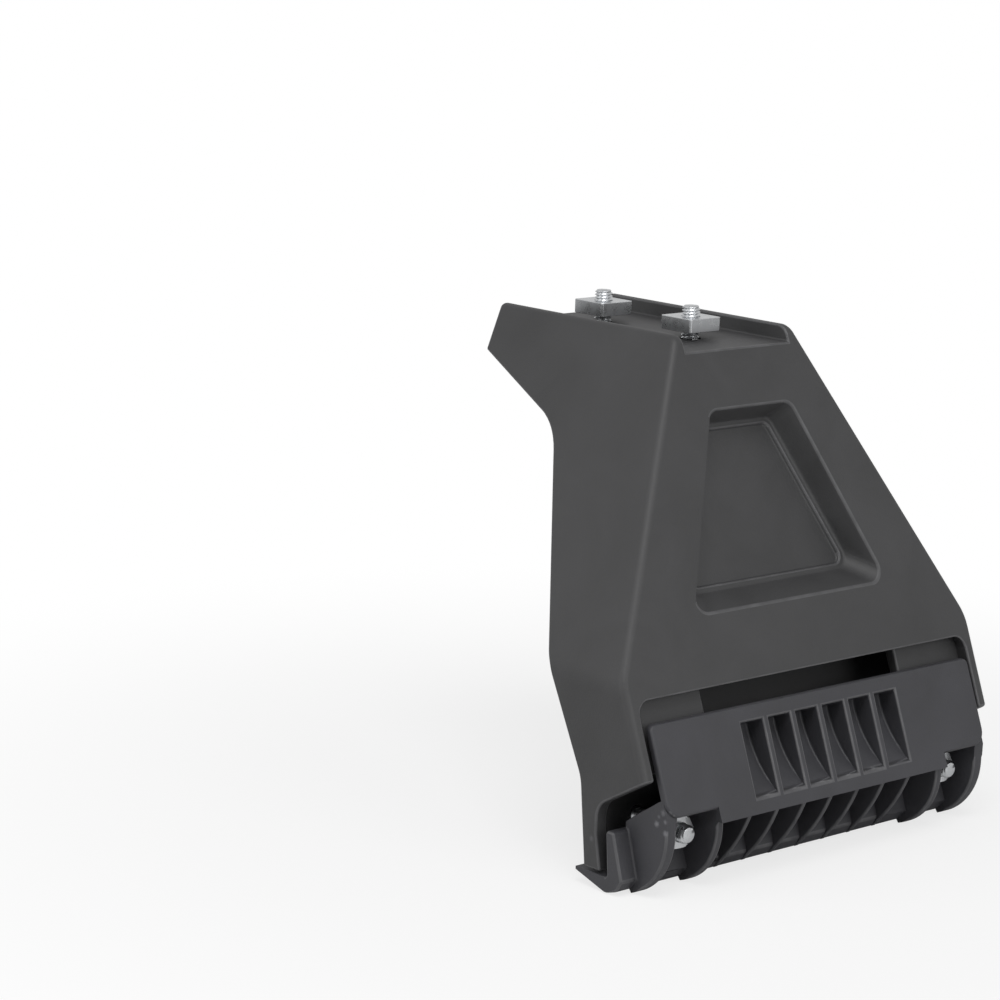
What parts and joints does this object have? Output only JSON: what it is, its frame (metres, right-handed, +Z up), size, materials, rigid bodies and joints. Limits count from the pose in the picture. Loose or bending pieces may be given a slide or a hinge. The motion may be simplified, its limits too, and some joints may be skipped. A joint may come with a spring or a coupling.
{
  "type": "roof bar foot",
  "caption": "Leaning plastic leg that stands in a rain gutter: a bar saddle between lips on top, a front pocket, and a bolted gutter clamp with scoops and ribs.",
  "frame": {"origin": "on the gutter seat: the underside of the foot wall's toe, at the middle of its length", "axes": "+X along the gutter, +Y inboard along the bar, +Z up"},
  "size_m": [0.1586, 0.1402, 0.1693],
  "materials": {
    "charcoal_nylon": "satin moulded plastic with a fine grain",
    "zinc_plated_steel": "bright zinc plate"
  },
  "bodies": {
    "leg": {"leg_body": "charcoal_nylon", "clamp_bolt_left": "zinc_plated_steel", "clamp_bolt_right": "zinc_plated_steel", "bar_washer_outboard": "zinc_plated_steel", "bar_washer_inboard": "zinc_plated_steel", "bar_spring_washer_outboard": "zinc_plated_steel", "bar_spring_washer_inboard": "zinc_plated_steel"},
    "clamp": {"gutter_clamp": "charcoal_nylon", "clamp_washer_left": "zinc_plated_steel", "clamp_washer_right": "zinc_plated_steel", "clamp_spring_washer_left": "zinc_plated_steel", "clamp_spring_washer_right": "zinc_plated_steel"},
    "clamp_nut_left": {"clamp_nut_left": "zinc_plated_steel"},
    "clamp_nut_right": {"clamp_nut_right": "zinc_plated_steel"},
    "bar_bolt_outboard": {"bar_bolt_outboard": "zinc_plated_steel"},
    "channel_nut_outboard": {"channel_nut_outboard": "zinc_plated_steel"},
    "bar_bolt_inboard": {"bar_bolt_inboard": "zinc_plated_steel"},
    "channel_nut_inboard": {"channel_nut_inboard": "zinc_plated_steel"}
  },
  "joints": [
    {"name": "clamp_slide", "type": "slide", "parent": "leg", "child": "clamp", "axis": [0, -1, 0], "range_m": [-0.0024, 0.003]},
    {"name": "clamp_nut_left_turn", "type": "hinge", "parent": "clamp", "child": "clamp_nut_left", "pos_m": [-0.0603, -0.0177, 0.0132], "axis": [0, -1, 0], "range_deg": [-866, 1082]},
    {"name": "clamp_nut_right_turn", "type": "hinge", "parent": "clamp", "child": "clamp_nut_right", "pos_m": [0.0603, -0.0177, 0.0132], "axis": [0, -1, 0], "range_deg": [-866, 1082]},
    {"name": "bar_bolt_outboard_turn", "type": "hinge", "parent": "leg", "child": "bar_bolt_outboard", "pos_m": [0, 0.04678, 0.1414], "axis": [0, 0, -1], "range_deg": [0, 1082]},
    {"name": "channel_nut_outboard_rise", "type": "slide", "parent": "leg", "child": "channel_nut_outboard", "axis": [0, 0, 1], "range_m": [0, 0.003]},
    {"name": "bar_bolt_inboard_turn", "type": "hinge", "parent": "leg", "child": "bar_bolt_inboard", "pos_m": [0, 0.0888, 0.1414], "axis": [0, 0, -1], "range_deg": [0, 1082]},
    {"name": "channel_nut_inboard_rise", "type": "slide", "parent": "leg", "child": "channel_nut_inboard", "axis": [0, 0, 1], "range_m": [0, 0.003]}
  ],
  "couplings": [
    {"joint": "clamp_nut_left_turn", "follows": "clamp_slide", "rad_per_m": 6283.2},
    {"joint": "clamp_nut_right_turn", "follows": "clamp_slide", "rad_per_m": 6283.2},
    {"joint": "bar_bolt_outboard_turn", "follows": "channel_nut_outboard_rise", "rad_per_m": 6283.2},
    {"joint": "bar_bolt_inboard_turn", "follows": "channel_nut_inboard_rise", "rad_per_m": 6283.2}
  ]
}
